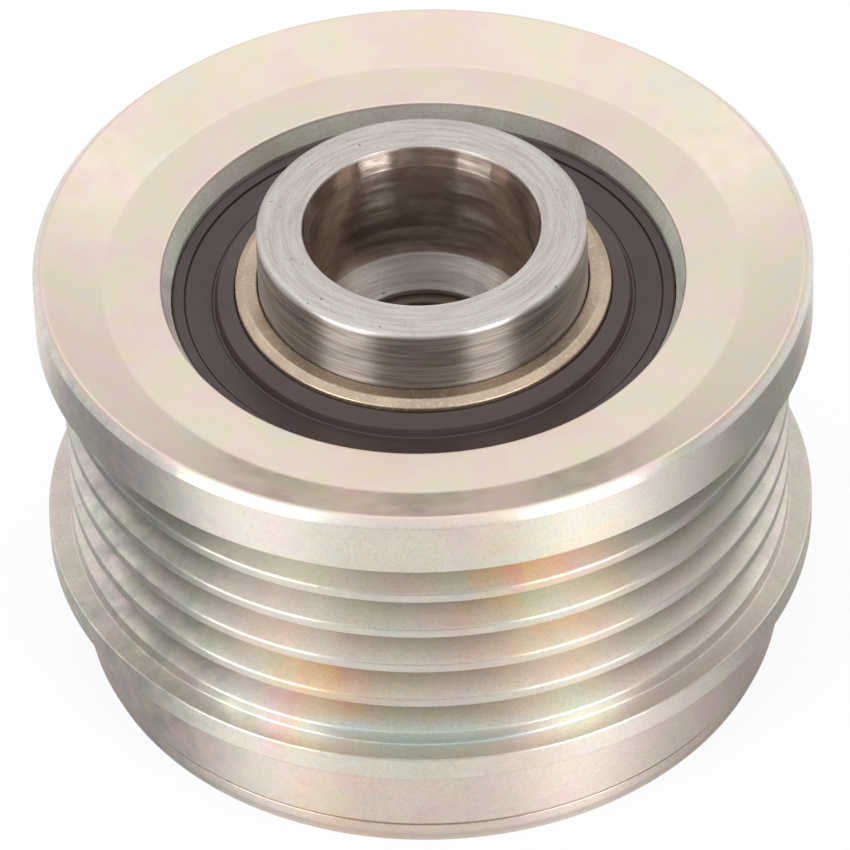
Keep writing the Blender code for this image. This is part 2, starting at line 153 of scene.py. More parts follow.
class StageSettings(bpy.types.PropertyGroup):
    """Camera and light of the studio."""

    focal: FloatProperty(name="Focal Length", description="Focal length in photo pixels",
                         default=8884.0)
    distance: FloatProperty(name="Distance", description="Camera to the rear rim's middle",
                            default=662.9 * MM, unit="LENGTH")
    elevation: FloatProperty(name="Elevation", description="Camera's angle above the floor",
                             default=radians(42.71), subtype="ANGLE")
    roll: FloatProperty(name="Roll", description="Camera's turn about its own axis",
                        default=radians(-1.88), subtype="ANGLE")
    shift_right: FloatProperty(name="Shift Right", description="Camera's move to its right",
                               default=0.194 * MM, unit="LENGTH")
    shift_down: FloatProperty(name="Shift Down", description="Camera's move downwards",
                              default=12.617 * MM, unit="LENGTH")
    world: FloatProperty(name="World", description="Brightness of the surroundings", default=0.14)
    ceiling: FloatProperty(name="Ceiling", description="Brightness of the ceiling sheet",
                           default=0.95)
    back: FloatProperty(name="Back", description="Brightness of the sheet behind", default=0.74)
    sides: FloatProperty(name="Sides", description="Brightness of the side sheets", default=0.48)
    left: FloatProperty(name="Left", description="Brightness of the left softbox", default=7.8)
    right: FloatProperty(name="Right", description="Brightness of the right softbox", default=8.3)


# Surfaces

def rounded(corners, steps=4, support=0.06 * MM):
    """Closed profile with a fillet at each (radius, height, fillet) corner.

    At a corner the arc touches both edges at fillet / tan(half the angle), is centred on the
    bisector, and its points turn evenly from one contact to the other. A support point lies
    just beyond each contact, so that long flats stay flat in the shading.
    """
    data = np.array(corners, float)
    points, fillet = data[:, :2], data[:, 2]
    to_last = np.roll(points, 1, 0) - points
    to_next = np.roll(points, -1, 0) - points
    long_last = np.linalg.norm(to_last, axis=1)
    long_next = np.linalg.norm(to_next, axis=1)
    to_last = to_last / long_last[:, None]
    to_next = to_next / long_next[:, None]
    half = np.arccos(np.clip((to_last * to_next).sum(1), -1, 0.9999)) / 2
    limit = 0.42 * np.minimum(long_last, long_next)
    contact = np.minimum(fillet / np.tan(half), limit)
    fillet = contact * np.tan(half)
    bisector = to_last + to_next
    bisector = bisector / np.maximum(np.linalg.norm(bisector, axis=1), 1e-9)[:, None]
    centre = points + bisector * (fillet / np.sin(half))[:, None]
    start = points + to_last * contact[:, None] - centre
    end = points + to_next * contact[:, None] - centre
    sweep = np.maximum(pi - 2 * half, 1e-4)[:, None]
    s = np.linspace(0, 1, steps + 1)[None, :]
    weight_start = np.sin((1 - s) * sweep) / np.sin(sweep)
    weight_end = np.sin(s * sweep) / np.sin(sweep)
    curve = (centre[:, None, :] + weight_start[..., None] * start[:, None, :]
             + weight_end[..., None] * end[:, None, :])
    beyond = np.minimum(support, 0.3 * limit)
    before = points + to_last * (contact + beyond)[:, None]
    after = points + to_next * (contact + beyond)[:, None]
    return np.concatenate([before[:, None], curve, after[:, None]], 1).reshape(-1, 2)


def grid_mesh(name, points):
    """Mesh over a grid of points, row i at one turn position and column j along the profile.

    The grid closes round the turn and along the profile. Each cell becomes a quad, wound so that
    its face points out of the solid, and its UV is (turn, distance along the profile).
    """
    turns, count = points.shape[:2]
    i = np.arange(turns)[:, None]
    j = np.arange(count)[None, :]
    i2 = (i + 1) % turns
    j2 = (j + 1) % count
    corners = np.stack([i * count + j, i2 * count + j, i2 * count + j2, i * count + j2], -1)
    corners = corners.reshape(-1, 4)
    along = np.linalg.norm(np.diff(points[0], axis=0, append=points[0][:1]), axis=1)
    along = np.concatenate([[0], np.cumsum(along)])
    u = np.stack([i + 0 * j, i + 1 + 0 * j, i + 1 + 0 * j, i + 0 * j], -1) / turns
    here, ahead = along[j] + 0 * i, along[j + 1] + 0 * i
    v = np.stack([here, here, ahead, ahead], -1)
    uv = np.stack([u, v / along[-1]], -1).reshape(-1, 4, 2)
    radius = np.linalg.norm(points[0, :, :2], axis=1)
    height = points[0, :, 2]
    area = np.sum(radius * np.roll(height, -1) - np.roll(radius, -1) * height)
    if area < 0:
        corners, uv = corners[:, ::-1], uv[:, ::-1]
    mesh = bpy.data.meshes.new(name)
    mesh.vertices.add(turns * count)
    mesh.vertices.foreach_set("co", points.reshape(-1).astype(np.float32))
    mesh.loops.add(corners.size)
    order = np.ascontiguousarray(corners).reshape(-1).astype(np.int32)
    mesh.loops.foreach_set("vertex_index", order)
    mesh.polygons.add(len(corners))
    mesh.polygons.foreach_set("loop_start", np.arange(len(corners), dtype=np.int32) * 4)
    layer = mesh.uv_layers.new(name="turning")
    layer.uv.foreach_set("vector", np.ascontiguousarray(uv).reshape(-1).astype(np.float32))
    mesh.update(calc_edges=True)
    mesh.validate()
    mesh.shade_smooth()
    return mesh


def turned_points(profile, around, radius_offset=None):
    """Surface of revolution: (r cos u, r sin u, z) for each profile point and each turn u.

    radius_offset(u, z, r) is a change of radius where the surface isn't round, as on a thread.
    """
    u = (2 * pi * np.arange(around) / around)[:, None]
    r = profile[:, 0][None, :] + 0 * u
    z = profile[:, 1][None, :] + 0 * u
    if radius_offset is not None:
        r = r + radius_offset(u, z, r)
    return np.stack([r * np.cos(u), r * np.sin(u), z], -1)


def round_body(name, profile, around):
    """Solid of revolution: its profile starts and ends near the axis, and fans close its poles."""
    points = turned_points(profile, around)
    count = points.shape[1]
    bottom = np.array([[0, 0, profile[0, 1]]])
    top = np.array([[0, 0, profile[-1, 1]]])
    verts = np.concatenate([points.reshape(-1, 3), bottom, top])
    i = np.arange(around)[:, None]
    j = np.arange(count - 1)[None, :]
    i2 = (i + 1) % around
    quads = np.stack([i * count + j, i2 * count + j, i2 * count + j + 1, i * count + j + 1], -1)
    ring = np.arange(around)
    after = (ring + 1) % around
    low = np.full(around, around * count)
    fans = [np.stack([low, after * count, ring * count], -1),
            np.stack([low + 1, ring * count + count - 1, after * count + count - 1], -1)]
    mesh = bpy.data.meshes.new(name)
    faces = quads.reshape(-1, 4).tolist() + np.concatenate(fans).tolist()
    mesh.from_pydata(verts.tolist(), [], faces)
    mesh.update()
    mesh.shade_smooth()
    return mesh


def add_piece(mesh, material, body, nodes):
    """Put a finished mesh in the scene, on its body and in place of its CAD nodes."""
    piece = bpy.data.objects.new(mesh.name, mesh)
    bpy.context.scene.collection.objects.link(piece)
    mesh.materials.append(material)
    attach(piece, body)
    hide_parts(*nodes)
    return piece


def add_turned(name, corners, around, material, body, node):
    """Turn a closed profile into a piece that takes the place of one CAD node."""
    mesh = grid_mesh(name, turned_points(rounded(corners), around))
    add_piece(mesh, material, body, [node])


def set_in_ring(mesh, i, count, path, height=0.0):
    """Move a mesh to place i of a ring of count equal pieces, on a path of the given radius."""
    turn = 2 * pi * i / count
    mesh.transform(Matrix.Translation((path * cos(turn), path * sin(turn), height)))


def finish_node(node, material):
    """Give a CAD node that stays its own material."""
    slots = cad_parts[node].data.materials
    slots.clear()
    slots.append(material)


# Materials

class Shader:
    """Small helper for building one material's node tree."""

    def __init__(self, name):
        self.material = bpy.data.materials.new(name)
        self.material.use_nodes = True
        self.nodes = self.material.node_tree.nodes
        self.links = self.material.node_tree.links
        self.surface = self.nodes["Principled BSDF"]
        self.place = self.add("ShaderNodeTexCoord").outputs["Object"]

    def add(self, kind, **settings):
        node = self.nodes.new(kind)
        for key, value in settings.items():
            setattr(node, key, value)
        return node

    def plug(self, socket, value):
        """Link an output into a socket, or set the socket to a constant."""
        if isinstance(value, bpy.types.NodeSocket):
            self.links.new(value, socket)
        elif isinstance(value, (tuple, list)) and len(value) == 3 and socket.type == "RGBA":
            socket.default_value = (*value, 1.0)
        else:
            socket.default_value = value

    def math(self, operation, *values):
        node = self.add("ShaderNodeMath", operation=operation)
        for socket, value in zip(node.inputs, values):
            self.plug(socket, value)
        return node.outputs[0]

    def times(self, first, second):
        return self.math("MULTIPLY", first, second)

    def mix(self, factor, first, second, blend="MIX"):
        node = self.add("ShaderNodeMix", data_type="RGBA", blend_type=blend)
        self.plug(node.inputs["Factor"], factor)
        self.plug(node.inputs[6], first)
        self.plug(node.inputs[7], second)
        return node.outputs[2]

    def noise(self, vector, scale, detail=3.0, roughness=0.5):
        node = self.add("ShaderNodeTexNoise")
        self.plug(node.inputs["Vector"], vector)
        node.inputs["Scale"].default_value = scale
        node.inputs["Detail"].default_value = detail
        node.inputs["Roughness"].default_value = roughness
        return node.outputs["Fac"]

    def spread(self, value, low, high, to_low=0.0, to_high=1.0):
        """Stretch a value's range from low..high to to_low..to_high, clamped."""
        node = self.add("ShaderNodeMapRange")
        self.plug(node.inputs["Value"], value)
        for socket, number in zip(list(node.inputs)[1:5], (low, high, to_low, to_high)):
            self.plug(socket, number)
        return node.outputs[0]

    def ramp(self, value, stops):
        node = self.add("ShaderNodeValToRGB")
        elements = node.color_ramp.elements
        while len(elements) < len(stops):
            elements.new(0.5)
        for element, (place, colour) in zip(elements, stops):
            element.position = place
            element.color = (*colour, 1.0)
        self.plug(node.inputs[0], value)
        return node.outputs[0]

    def around_axis(self):
        """(direction x, direction y, radius, height) of the shaded point about the Z axis."""
        split = self.add("ShaderNodeSeparateXYZ")
        self.plug(split.inputs[0], self.place)
        x, y, z = split.outputs
        radius = self.math("SQRT", self.math("ADD", self.times(x, x), self.times(y, y)))
        safe = self.math("MAXIMUM", radius, 0.0001)
        return self.math("DIVIDE", x, safe), self.math("DIVIDE", y, safe), radius, z

    def facing(self, azimuth, low, high, to_low=0.0, to_high=1.0):
        """How well the shaded point's side faces a direction, in degrees to the camera's right."""
        x, y = self.around_axis()[:2]
        toward = self.math("SUBTRACT", self.times(x, sin(radians(azimuth))),
                           self.times(y, cos(radians(azimuth))))
        return self.spread(toward, low, high, to_low, to_high)

    def ring_vector(self, across, along):
        """Vector that changes slowly round the axis and fast across the turning marks."""
        x, y, radius, z = self.around_axis()
        travel = self.math("ADD", radius, z)
        join = self.add("ShaderNodeCombineXYZ")
        self.plug(join.inputs[0], self.times(x, along))
        self.plug(join.inputs[1], self.times(y, along))
        self.plug(join.inputs[2], self.times(travel, across))
        return join.outputs[0]

    def bump(self, height, strength, distance, under=None):
        node = self.add("ShaderNodeBump")
        node.inputs["Strength"].default_value = strength
        node.inputs["Distance"].default_value = distance
        self.plug(node.inputs["Height"], height)
        if under is not None:
            self.plug(node.inputs["Normal"], under)
        return node.outputs[0]

    def finish(self, **sockets):
        for name, value in sockets.items():
            self.plug(self.surface.inputs[name.replace("_", " ")], value)
        return self.material


def brushed_along_turns(shader, amount):
    """Stretch the highlights across the turning marks, which run round the axis."""
    tangent = shader.add("ShaderNodeTangent", direction_type="UV_MAP", uv_map="turning")
    shader.plug(shader.surface.inputs["Tangent"], tangent.outputs[0])
    shader.plug(shader.surface.inputs["Anisotropic"], amount)
    shader.surface.inputs["Anisotropic Rotation"].default_value = 0.25


def tinted(colour, red, green, blue):
    return colour[0] * red, colour[1] * green, colour[2] * blue


def tints_and_painted_light_by_height(base):
    """Stops of the side's tint, as shares of the shell's height from front rim to rear rim. The
    darker spigot band is painted shade, and the lighter, bluer edge at the rear rim is a painted
    highlight.
    """
    # spigot band: painted shade; edge: painted highlight on the rear rim's edge
    front_rim, spigot_painted_shade = tinted(base, 0.97, 0.99, 1.06), tinted(base, 0.85, 0.87, 0.95)
    body, edge = tinted(base, 1.02, 1.01, 1.08), tinted(base, 1.14, 1.26, 1.34)
    return [(0.0, front_rim), (0.012, front_rim), (0.020, spigot_painted_shade), (0.030, spigot_painted_shade),
            (0.036, body), (0.250, body),
            (0.262, tinted(base, 0.98, 1.04, 1.09)), (0.840, tinted(base, 0.96, 1.06, 1.12)),
            (0.850, tinted(base, 0.96, 1.02, 1.06)), (0.981, tinted(base, 0.96, 1.02, 1.07)),
            (0.986, edge), (1.0, edge)]


def painted_fire_sheen(shader, z, on_ribs):
    """How strongly the orange and yellow passivation shows: low at the left, high at the right. Its
    colours are real, but where they show is a painted sheen, on the sides turned towards the
    softboxes' highlights.
    """
    noise = shader.noise(shader.ring_vector(420.0, 4.5), 1.0, 2.0, 0.5)
    low_left = shader.times(shader.facing(-22.0, 0.96, 0.998),
                            shader.spread(z, 21.0 * MM, 14.0 * MM))
    high_right = shader.times(shader.facing(18.0, 0.955, 0.998),
                              shader.spread(z, 14.0 * MM, 24.0 * MM, 0.2, 0.9))
    painted_sheen_strength = shader.times(shader.math("MAXIMUM", low_left, high_right),
                        shader.spread(on_ribs, 0.0, 1.0, 0.25, 0.85))
    painted_sheen_strength = shader.math("ADD", painted_sheen_strength, shader.facing(-12.0, 0.80, 0.97, 0.04, 0.16))
    return shader.times(shader.spread(noise, 0.34, 0.60), shader.math("MINIMUM", painted_sheen_strength, 0.9))


def rib_shade(shader, radius, z, tip):
    """Darker towards the grooves' floors, on the tips' edges and on the upper ribs' far sides. The
    darkening in the grooves and on the far sides is painted shade, with a little painted light near
    the tips.
    """
    # Painted shade deeper in the grooves, and a little painted light near the tips.
    depth = shader.spread(radius, tip - 2.9 * MM, tip - 0.4 * MM, 0.86, 1.06)
    depth = shader.times(depth, shader.spread(radius, tip - 0.12 * MM, tip - 0.04 * MM, 1.0, 0.84))
    # Painted shade on the upper ribs' sides turned away from the front.
    darker_tone = shader.times(shader.facing(0.0, 0.72, 0.97, 0.22, 0.0),
                        shader.spread(z, 19.0 * MM, 26.0 * MM))
    return shader.times(depth, shader.math("SUBTRACT", 1.0, darker_tone))


def plated_steel(settings):
    """Zinc plating: satin, tinted by height, with rainbow streaks and stains on its sides. Painted
    light and shade lie on it too: a sheen with the streaks, a reflection on the land, shade at the
    left, in the grooves and under the front flange, and light on the rear rim's edge and in the
    recess.
    """
    shader = Shader("zinc_plating")
    base = tuple(settings.colour)
    top = top_of("pulley_shell")
    tip = reach("pulley_shell") - settings.flange_height
    radius, z = shader.around_axis()[2:]
    on_face = shader.times(shader.spread(z, top - 2.1 * MM, top - 1.9 * MM),
                           shader.spread(radius, 28.9 * MM, 28.6 * MM))
    on_ribs = shader.times(shader.spread(z, 11.4 * MM, 11.6 * MM),
                           shader.spread(z, top - 5.3 * MM, top - 5.5 * MM))
    on_land = shader.times(shader.spread(z, 12.9 * MM, 12.5 * MM),
                           shader.spread(z, 11.1 * MM, 11.3 * MM))
    in_recess = shader.times(shader.spread(radius, 19.75 * MM, 19.6 * MM),
                             shader.spread(z, 30.0 * MM, 30.2 * MM))

    side = shader.ramp(shader.spread(z, 0.0, top), tints_and_painted_light_by_height(base))
    # Painted reflection: a lighter teal on the side of the land that faces the front.
    teal_painted_reflection = shader.times(shader.facing(-4.0, 0.80, 0.98), on_land)
    teal_painted_reflection = shader.times(teal_painted_reflection, shader.spread(radius, tip + 0.3 * MM, tip + 0.1 * MM))
    side = shader.mix(teal_painted_reflection, side, tinted(base, 0.87, 1.14, 1.28))
    fire = [(0.36, tinted(base, 0.92, 1.06, 1.00)), (0.45, tinted(base, 1.0, 1.03, 0.80)),
            (0.53, tinted(base, 1.12, 0.98, 0.62)), (0.60, tinted(base, 1.12, 0.80, 0.66)),
            (0.68, tinted(base, 1.05, 0.86, 0.95))]
    fire_noise = shader.noise(shader.ring_vector(300.0, 6.0), 1.0, 2.0, 0.5)
    # Passivation colours, laid on as a painted sheen where the softboxes' highlights fall.
    side = shader.mix(painted_fire_sheen(shader, z, on_ribs), side, shader.ramp(fire_noise, fire))
    mottle = shader.noise(shader.place, 620.0, 4.0, 0.62)
    # Mottled stains that grow strong on the side turned to the left, where they are painted shade.
    stain_and_painted_shade = shader.times(shader.spread(mottle, 0.36, 0.66),
                         shader.facing(-52.0, 0.84, 0.98, 0.08, 0.62))
    side = shader.mix(stain_and_painted_shade, side, tinted(base, 0.50, 0.60, 0.68))
    shaded = shader.mix(1.0, side, rib_shade(shader, radius, z, tip), "MULTIPLY")
    side = shader.mix(on_ribs, side, shaded)
    # Painted light: the recess wall is a lighter, bluer copy of the plating.
    side = shader.mix(in_recess, side, tinted(base, 1.16, 1.32, 1.40))

    rainbow = [(0.30, (0.90, 1.0, 1.0)), (0.41, (0.95, 1.0, 0.86)), (0.50, (1.0, 0.98, 0.98)),
               (0.58, (1.0, 0.90, 1.0)), (0.70, (1.0, 0.93, 0.82))]
    cloud = shader.noise(shader.place, 190.0, 2.0, 0.5)
    tinge = shader.spread(on_face, 0.0, 1.0, 0.6 * settings.tint, settings.tint)
    colour = shader.mix(on_face, side, base)
    colour = shader.mix(tinge, colour, shader.ramp(cloud, rainbow), "MULTIPLY")
    marks = shader.noise(shader.ring_vector(7000.0, 1.2), 1.0, 3.0, 0.6)
    fine = shader.noise(shader.place, 4200.0, 2.0, 0.6)
    colour = shader.mix(shader.spread(marks, 0.3, 0.75, 0.0, 0.12), colour,
                        tinted(base, 0.72, 0.72, 0.72))
    grain = shader.times(shader.spread(fine, 0.45, 0.75, 0.0, 0.35),
                         shader.math("SUBTRACT", 1.0, on_face))
    colour = shader.mix(grain, colour, tinted(base, 0.60, 0.62, 0.62))
    # Painted shade: a thin dark brown line at the front flange's lower edge.
    off_edge = shader.math("ABSOLUTE", shader.math("SUBTRACT", z, settings.body_top))
    flange_edge_painted_shade = shader.spread(off_edge, 0.05 * MM, 0.14 * MM, 0.45, 0.0)
    colour = shader.mix(flange_edge_painted_shade, colour, (0.20, 0.15, 0.11))
    roughness = shader.spread(mottle, 0.3, 0.7, settings.roughness - 0.04,
                              settings.roughness + 0.06)
    normal = shader.bump(marks, 0.25, 0.00001)
    normal = shader.bump(fine, 0.2, 0.00002, normal)
    brushed_along_turns(shader, shader.spread(on_face, 0.0, 1.0, 0.85, 0.5))
    return shader.finish(Base_Color=colour, Metallic=1.0, Roughness=roughness, Normal=normal)


def turned_steel(settings):
    """Bare steel off the lathe: rings broken round the turn, dark specks, a brown honed bore.
    Painted shade darkens the hub's side, the far part of the bore's floor and the thread below it.
    """
    shader = Shader("turned_steel")
    base = tuple(settings.colour)
    top = top_of("hub_sleeve")
    bore_end = top - settings.bore_depth
    radius, z = shader.around_axis()[2:]
    in_bore = shader.times(shader.spread(radius, 8.97 * MM, 8.90 * MM),
                           shader.spread(z, top - 0.15 * MM, top - 0.3 * MM))
    on_wall = shader.times(in_bore, shader.spread(z, bore_end, bore_end + 0.2 * MM))
    on_floor = shader.times(in_bore, shader.spread(z, bore_end + 0.1 * MM, bore_end - 0.1 * MM))
    below = shader.times(in_bore, shader.spread(z, bore_end - 1.6 * MM, bore_end - 1.8 * MM))
    on_side = shader.times(shader.spread(radius, 11.0 * MM, 11.2 * MM),
                           shader.spread(z, top - 0.2 * MM, top - 0.5 * MM))
    broad = shader.noise(shader.ring_vector(1500.0, 0.9), 1.0, 2.0, 0.5)
    coarse = shader.noise(shader.ring_vector(3600.0, 2.4), 1.0, 4.0, 0.65)
    fine = shader.noise(shader.ring_vector(30000.0, 6.0), 1.0, 2.0, 0.6)
    smear = shader.noise(shader.ring_vector(900.0, 4.0), 1.0, 3.0, 0.6)
    grain = shader.noise(shader.place, 5200.0, 2.0, 0.6)
    specks = shader.noise(shader.place, 1700.0, 1.0, 0.5)

    colour = shader.mix(shader.spread(coarse, 0.40, 0.68, 0.0, 0.7), base,
                        tinted(base, 0.66, 0.60, 0.55))
    colour = shader.mix(shader.spread(grain, 0.4, 0.7, 0.0, 0.2), colour, (0.85, 0.82, 0.80))
    colour = shader.mix(shader.spread(specks, 0.24, 0.21, 0.0, 0.6), colour, (0.12, 0.10, 0.09))
    # Painted shade: the hub's side is darkened to between about a third and two thirds of its
    # colour, following the turning marks.
    side_marks_and_painted_shade = shader.spread(coarse, 0.36, 0.64, 0.70, 0.36)
    colour = shader.mix(on_side, colour, shader.mix(side_marks_and_painted_shade, (0.0, 0.0, 0.0),
                                                    tinted(base, 1.0, 0.93, 0.87)))
    wall_tint = shader.mix(shader.spread(smear, 0.42, 0.66), tinted(base, 0.92, 0.80, 0.72),
                           tinted(base, 1.25, 1.16, 1.08))
    colour = shader.mix(on_wall, colour, wall_tint)
    # Painted shade: darker below the bore's floor, down the thread.
    colour = shader.mix(below, colour, tinted(base, 0.5, 0.42, 0.36))
    # Painted shade: the far part of the bore's floor is darkened; it is fixed to the hub and turns
    # with it.
    far_floor_painted_shade = shader.times(on_floor, shader.facing(180.0, 0.86, 0.99, 0.0, 0.62))
    colour = shader.mix(far_floor_painted_shade, colour, tinted(base, 0.32, 0.28, 0.25))
    roughness = shader.spread(broad, 0.3, 0.7, settings.roughness - 0.05, settings.roughness + 0.06)
    roughness = shader.math("SUBTRACT", roughness, shader.times(on_wall, 0.22))
    normal = shader.bump(broad, 0.5, 0.00002)
    normal = shader.bump(coarse, 0.6, 0.000012, normal)
    normal = shader.bump(fine, 0.3, 0.000005, normal)
    brushed_along_turns(shader, shader.spread(z, top - 0.3 * MM, top - 0.1 * MM, 1.0, 0.45))
    return shader.finish(Base_Color=colour, Metallic=1.0, Roughness=roughness, Normal=normal)


def ring_steel(name, colour, roughness, speckle):
    """Bearing steel with a warm film, small bright specks and ground rings."""
    shader = Shader(name)
    rings = shader.noise(shader.ring_vector(14000.0, 2.0), 1.0, 2.0, 0.6)
    grains = shader.noise(shader.place, 3800.0, 1.5, 0.6)
    film = shader.noise(shader.place, 260.0, 2.0, 0.5)
    darker_tone = tinted(colour, 0.72, 0.72, 0.72)
    shade = shader.mix(shader.spread(film, 0.35, 0.65, 0.0, 0.8), colour, darker_tone)
    shade = shader.mix(shader.spread(grains, 0.56, 0.72, 0.0, speckle), shade, (0.80, 0.69, 0.56))
    normal = shader.bump(rings, 0.2, 0.00001)
    normal = shader.bump(grains, 0.3, 0.00002, normal)
    rough = shader.spread(grains, 0.3, 0.7, roughness, roughness + 0.12)
    return shader.finish(Base_Color=shade, Metallic=1.0, Roughness=rough, Normal=normal)


def seal_rubber(colour):
    """Moulded rubber: satin, faintly mottled, with a fine skin."""
    shader = Shader("moulded_rubber")
    mottle = shader.noise(shader.place, 420.0, 3.0, 0.55)
    skin = shader.noise(shader.place, 5200.0, 2.0, 0.6)
    lighter = tinted(colour, 1.35, 1.35, 1.35)
    shade = shader.mix(shader.spread(mottle, 0.35, 0.7, 0.0, 0.6), colour, lighter)
    rough = shader.spread(skin, 0.3, 0.7, 0.30, 0.40)
    normal = shader.bump(skin, 0.12, 0.00001)
    return shader.finish(Base_Color=shade, Metallic=0.0, Roughness=rough, Normal=normal,
                         Specular_IOR_Level=0.45)


def cage_nylon(colour):
    """Natural nylon with a cloudy body and a soft moulded skin."""
    shader = Shader("natural_nylon")
    cloud = shader.noise(shader.place, 500.0, 3.0, 0.5)
    skin = shader.noise(shader.place, 4200.0, 2.0, 0.6)
    shade = shader.mix(shader.spread(cloud, 0.3, 0.7, 0.0, 1.0), colour,
                       tinted(colour, 0.86, 0.86, 0.86))
    rough = shader.spread(skin, 0.3, 0.7, 0.40, 0.52)
    normal = shader.bump(skin, 0.1, 0.00001)
    return shader.finish(Base_Color=shade, Metallic=0.0, Roughness=rough, Normal=normal)


def polished_steel(name, roughness):
    """Polished rolling elements with a faint oil haze."""
    shader = Shader(name)
    haze = shader.noise(shader.place, 900.0, 2.0, 0.5)
    shade = shader.mix(shader.spread(haze, 0.3, 0.7, 0.0, 1.0), (0.76, 0.76, 0.77),
                       (0.68, 0.67, 0.66))
    rough = shader.spread(haze, 0.3, 0.7, roughness, roughness + 0.08)
    return shader.finish(Base_Color=shade, Metallic=1.0, Roughness=rough)


# Pieces

class PULLEY_OT_turn_shell(bpy.types.Operator):
    """Turn the plated shell with its flanges, belt grooves and dished rear face"""

    bl_idname = "pulley.turn_shell"
    bl_label = "Turn Shell"

    around = 256
    groove_slope = tan(radians(20))     # half of the standard 40 degree groove
    rear_rim_width = 4.8 * MM
    rear_rim_land = 0.2 * MM
    first_land_width = 1.06 * MM
    body_length = 6.9 * MM
    body_step = 0.52 * MM               # below the rib tips
    spigot_step = 0.2 * MM
    spigot_taper = 0.43 * MM
    spigot_taper_length = 1.1 * MM
    cap_groove_width = 0.35 * MM
    cap_groove_depth = 0.3 * MM
    lead_in_width = 0.75 * MM
    lead_in_depth = 1.5 * MM

    def profile(self, s):
        """Closed section of the shell, as (radius, height, fillet) corners before rounding."""
        flange = reach("pulley_shell")
        top = top_of("pulley_shell")
        tip = flange - s.flange_height
        half = (s.groove_pitch - s.rib_tip) / 2
        floor = tip - (half - s.groove_floor / 2) / self.groove_slope
        bore = reach("rear_outer_ring") + SEAT_GAP
        rim_bottom = top - self.rear_rim_width - s.rim_edge
        last = rim_bottom - half - s.flange_height * self.groove_slope
        first = last - (s.groove_count - 1) * s.groove_pitch
        front_flange_top = first - half - self.first_land_width
        spigot_top = s.body_top - self.body_length
        cap_groove = spigot_top - self.cap_groove_width
        body = tip - self.body_step
        spigot = body - self.spigot_step
        dish = top - s.face_depth
        recess = bore + self.lead_in_width
        outside = [
            (spigot - self.spigot_taper, 0.0, 0.15 * MM),
            (spigot, self.spigot_taper_length, 1.2 * MM),
            (spigot, cap_groove, 0.06 * MM),
            (spigot - self.cap_groove_depth, cap_groove, 0.05 * MM),
            (spigot - self.cap_groove_depth, spigot_top, 0.05 * MM),
            (body, spigot_top, SLIM_EDGE),
            (body, s.body_top, 0.12 * MM),
            (flange, s.body_top, 0.14 * MM),
            (flange, front_flange_top, 0.14 * MM),
            (tip, front_flange_top, SLIM_EDGE),
        ]
        grooves = []
        for i in range(s.groove_count):
            middle = first + i * s.groove_pitch
            grooves += [(tip, middle - half, s.rib_round),
                        (floor, middle - s.groove_floor / 2, 0.2 * MM),
                        (floor, middle + s.groove_floor / 2, 0.2 * MM)]
            if i < s.groove_count - 1:
                grooves.append((tip, middle + half, s.rib_round))
        rear = [
            (flange - s.rim_edge, rim_bottom, 0.2 * MM),
            (flange, rim_bottom + s.rim_edge, SLIM_EDGE),
            (flange, top - s.rim_edge, 0.12 * MM),
            (flange - s.rim_edge, top, SLIM_EDGE),
            (flange - s.rim_edge - self.rear_rim_land, top, 0.3 * MM),
            (recess + s.face_flat, dish, 0.9 * MM),
            (recess, dish, 0.16 * MM),
            (bore, dish - self.lead_in_depth, SLIM_EDGE),
            (bore, self.lead_in_depth, 0.2 * MM),
            (recess, 0.0, 0.25 * MM),
        ]
        return rounded(outside + grooves + rear)

    def execute(self, context):
        s = context.scene.pulley_shell
        mesh = grid_mesh("turned_shell", turned_points(self.profile(s), self.around))
        add_piece(mesh, plated_steel(s), "pulley", ["pulley_shell"])
        return {"FINISHED"}


